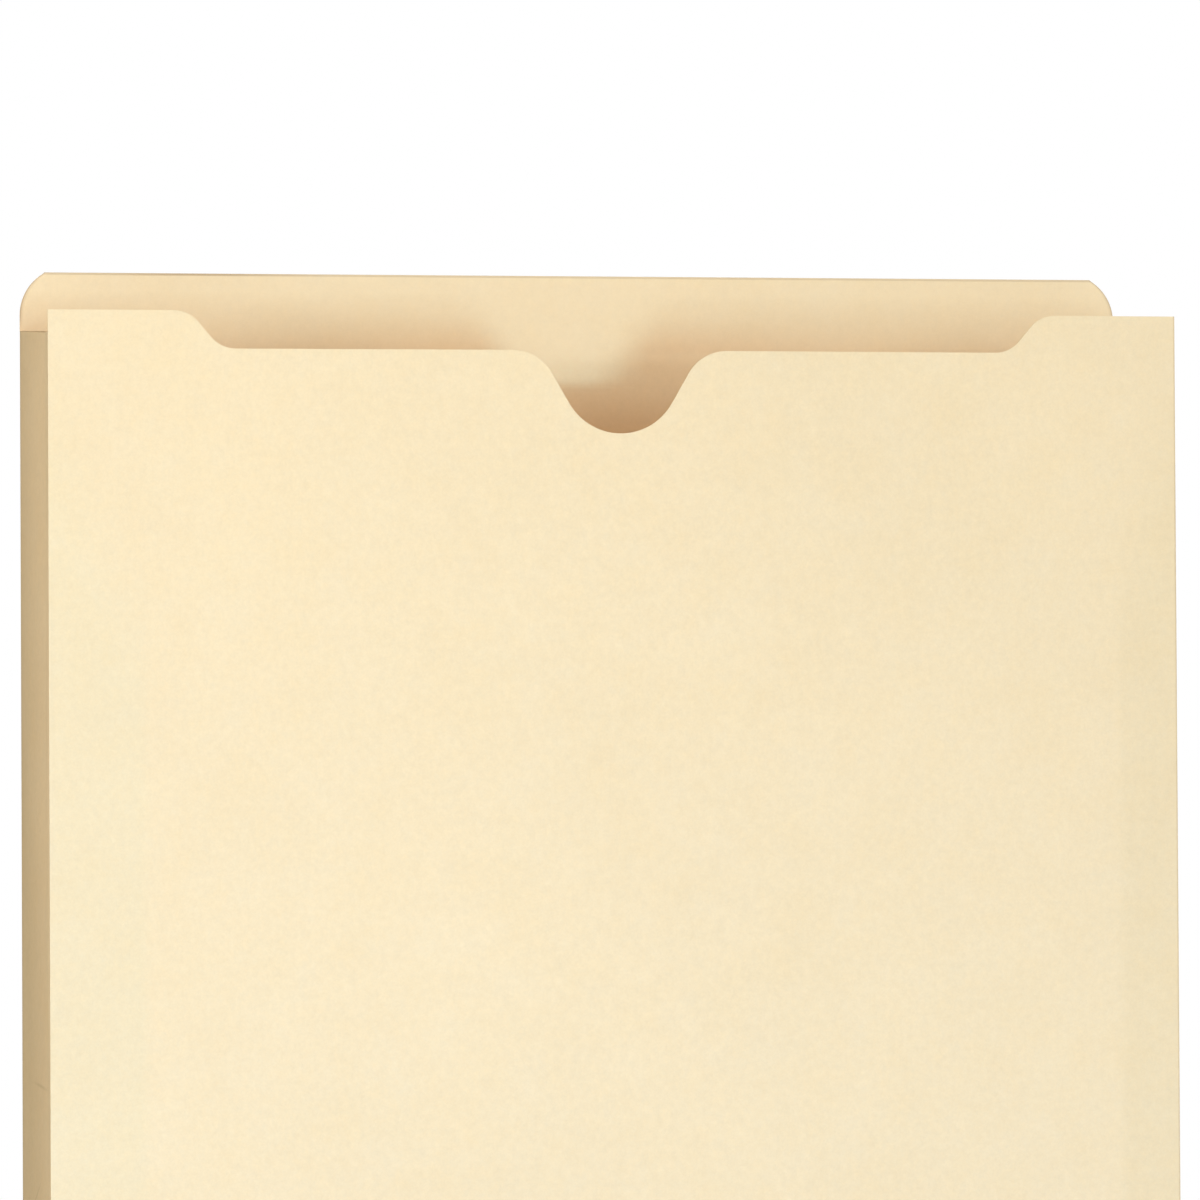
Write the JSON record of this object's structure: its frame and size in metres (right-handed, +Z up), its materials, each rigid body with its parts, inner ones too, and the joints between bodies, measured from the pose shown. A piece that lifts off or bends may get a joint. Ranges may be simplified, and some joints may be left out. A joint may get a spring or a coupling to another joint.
{
  "type": "expanding file jacket",
  "caption": "Upright manila card file jacket with a folded two-ply tab, V-fold gussets on three sides and a front panel with corner tongues and a thumb notch.",
  "frame": {"origin": "middle of the jacket's footprint, on the surface it stands on", "axes": "+Z up along the panels to the tab, +Y from the front panel to the back panel, +X to the right as seen from the front"},
  "size_m": [0.2414, 0.0516, 0.3112],
  "materials": {
    "manila_card": "uncoated manila card, matt",
    "dried_glue": "dried white glue, thin film"
  },
  "bodies": {
    "back": {"back_panel": "manila_card", "tab_ply": "manila_card", "tab_glue": "dried_glue", "left_corner_web": "manila_card", "right_corner_web": "manila_card"},
    "left_rear": {"left_gusset_rear": "manila_card"},
    "left_front": {"left_gusset_front": "manila_card"},
    "front": {"front_panel": "manila_card", "left_glue_flap": "manila_card", "right_glue_flap": "manila_card", "bottom_glue_flap": "manila_card", "left_flap_glue": "dried_glue", "right_flap_glue": "dried_glue", "bottom_flap_glue": "dried_glue"},
    "right_rear": {"right_gusset_rear": "manila_card"},
    "right_front": {"right_gusset_front": "manila_card"},
    "bottom_rear": {"bottom_gusset_rear": "manila_card"},
    "bottom_front": {"bottom_gusset_front": "manila_card"}
  },
  "joints": [
    {"name": "left_back_fold", "type": "hinge", "parent": "back", "child": "left_rear", "pos_m": [-0.12032, 0.02547, 0.15], "axis": [0, 0, 1], "range_deg": [0, 82], "deforming": ["left_corner_web", "right_corner_web"]},
    {"name": "left_centre_fold", "type": "hinge", "parent": "left_rear", "child": "left_front", "pos_m": [-0.11804, 0.00016, 0.15], "axis": [0, 0, 1], "range_deg": [-164, 0]},
    {"name": "left_front_fold", "type": "hinge", "parent": "left_front", "child": "front", "pos_m": [-0.12032, -0.02514, 0.15], "axis": [0, 0, 1], "range_deg": [0, 82]},
    {"name": "right_back_fold", "type": "hinge", "parent": "back", "child": "right_rear", "pos_m": [0.12032, 0.02547, 0.15], "axis": [0, 0, 1], "range_deg": [-82, 0]},
    {"name": "right_centre_fold", "type": "hinge", "parent": "right_rear", "child": "right_front", "pos_m": [0.11804, 0.00016, 0.15], "axis": [0, 0, 1], "range_deg": [0, 164]},
    {"name": "bottom_back_fold", "type": "hinge", "parent": "back", "child": "bottom_rear", "pos_m": [0, 0.02547, 0.00033], "axis": [-1, 0, 0], "range_deg": [0, 82]},
    {"name": "bottom_centre_fold", "type": "hinge", "parent": "bottom_rear", "child": "bottom_front", "pos_m": [0, 0.00016, 0.00261], "axis": [-1, 0, 0], "range_deg": [-164, 0]}
  ],
  "couplings": [
    {"joint": "left_centre_fold", "follows": "left_back_fold", "ratio": -2},
    {"joint": "left_front_fold", "follows": "left_back_fold", "ratio": 1},
    {"joint": "right_back_fold", "follows": "left_back_fold", "ratio": -1},
    {"joint": "right_centre_fold", "follows": "left_back_fold", "ratio": 2},
    {"joint": "bottom_back_fold", "follows": "left_back_fold", "ratio": 1},
    {"joint": "bottom_centre_fold", "follows": "left_back_fold", "ratio": -2}
  ]
}
